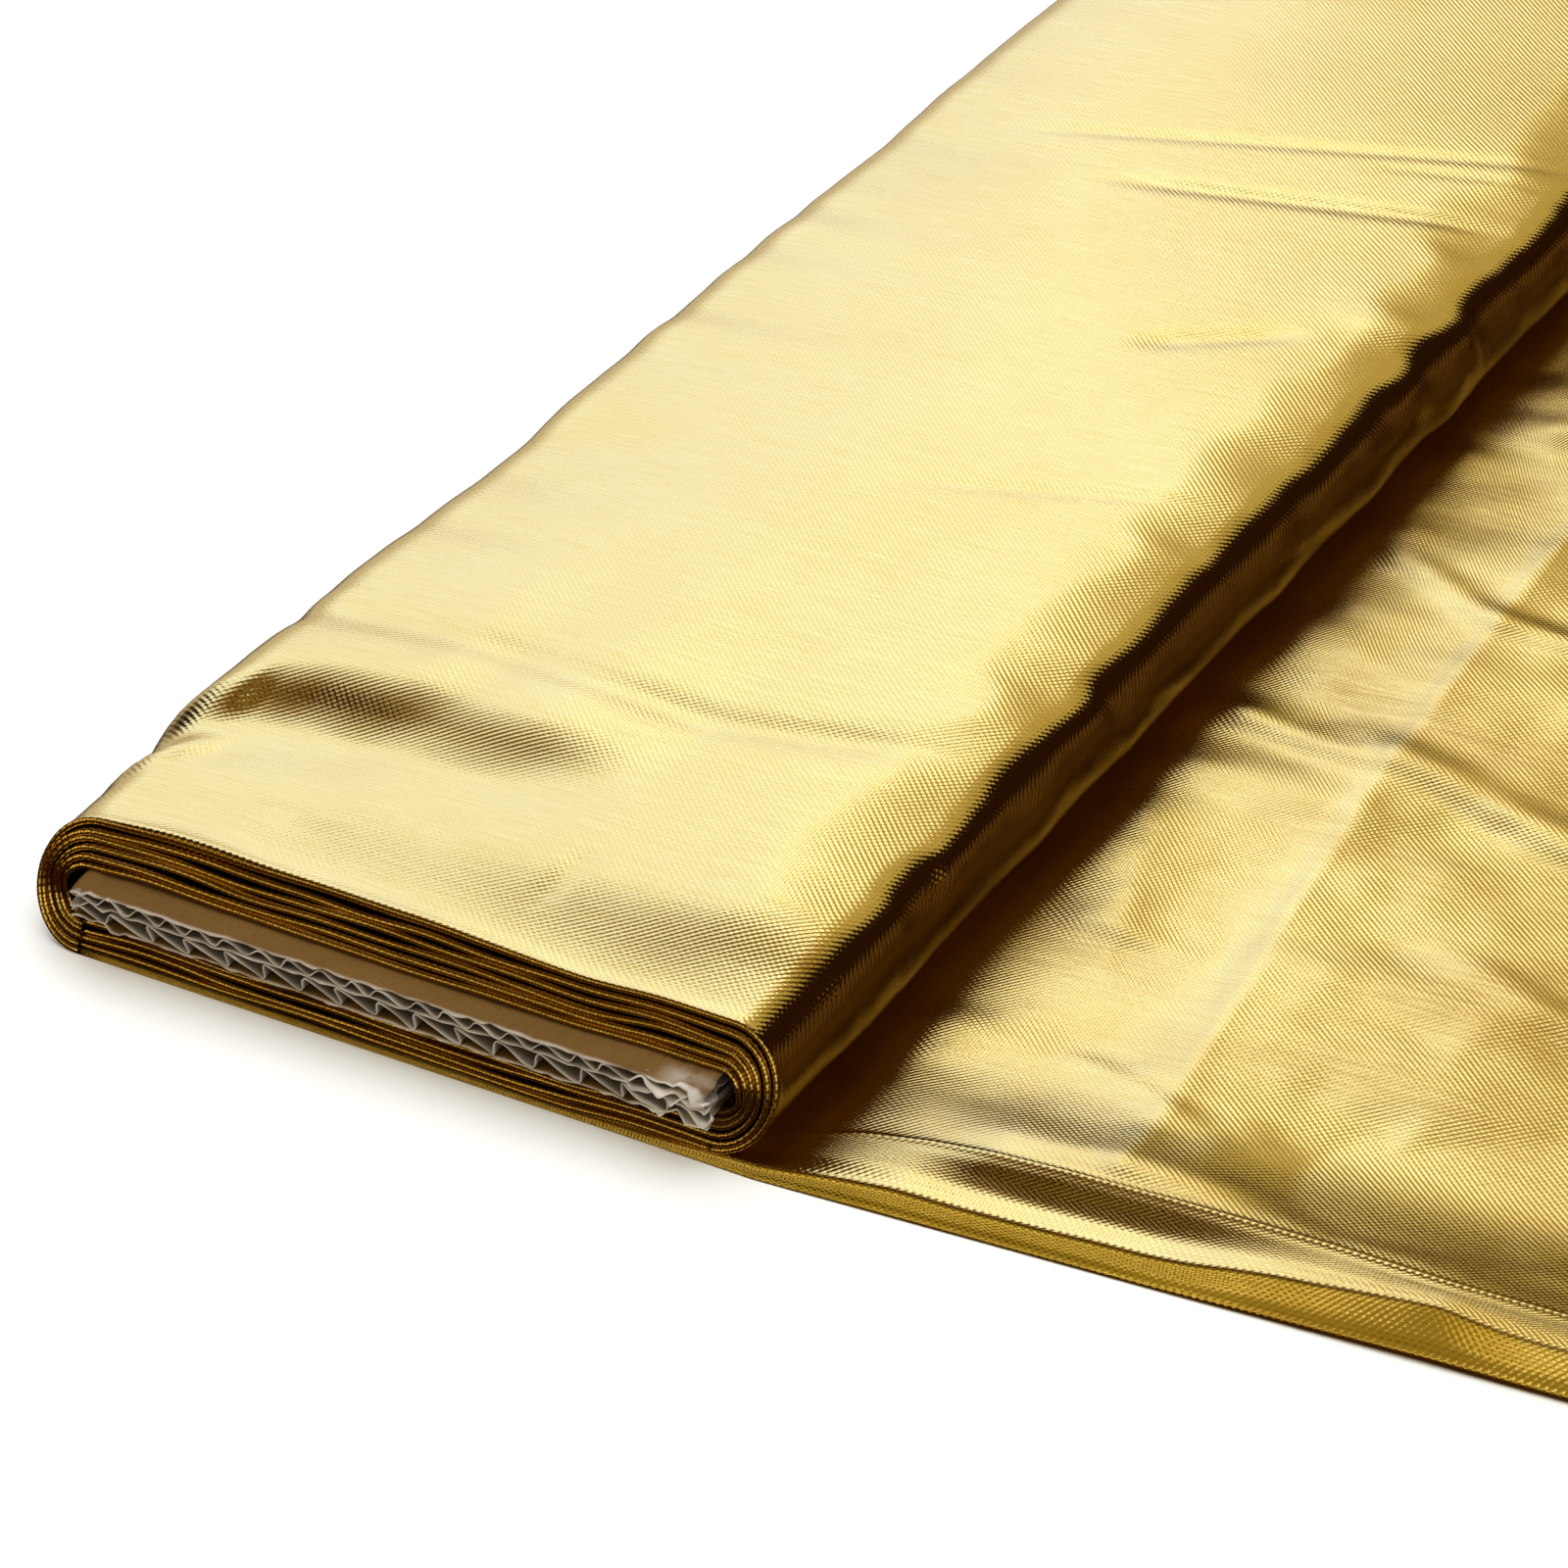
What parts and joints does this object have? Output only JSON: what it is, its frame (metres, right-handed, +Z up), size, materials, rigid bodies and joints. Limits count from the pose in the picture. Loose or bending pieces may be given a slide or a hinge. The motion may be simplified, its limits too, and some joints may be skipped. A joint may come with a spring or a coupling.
{
  "type": "fabric bolt",
  "caption": "Length of shiny gold woven metallic cloth, doubled and wound flat on a corrugated core board, with its loose end lying out flat to one side.",
  "frame": {"origin": "on the resting plane, under the middle of the core board", "axes": "+X across the bolt towards the loose end, +Y along the bolt away from the cloth's folded edge, +Z up"},
  "size_m": [0.4329, 0.5813, 0.0224],
  "materials": {
    "gold_lame": "shiny metallic weave",
    "kraft_liner": "matte brown kraft paper",
    "flute_paper": "matte grey cut paper"
  },
  "bodies": {
    "tail": {"tail_lower_ply": "gold_lame", "tail_upper_ply": "gold_lame", "tail_near_fold": "gold_lame"},
    "bolt": {"cloth_turn_1": "gold_lame", "cloth_turn_2": "gold_lame", "cloth_turn_3": "gold_lame", "cloth_turn_4": "gold_lame", "cloth_turn_5": "gold_lame", "cloth_turn_6": "gold_lame"},
    "core": {"core_top_liner": "kraft_liner", "core_upper_flute": "flute_paper", "core_middle_liner": "flute_paper", "core_lower_flute": "flute_paper", "core_bottom_liner": "kraft_liner"}
  },
  "joints": [
    {"name": "turn_over", "type": "hinge", "parent": "tail", "child": "bolt", "pos_m": [-0.08089, 0, 0.0112], "axis": [0, -1, 0], "range_deg": [0, 179]},
    {"name": "core_slide", "type": "slide", "parent": "bolt", "child": "core", "axis": [0, -1, 0], "range_m": [0, 0.28]}
  ]
}
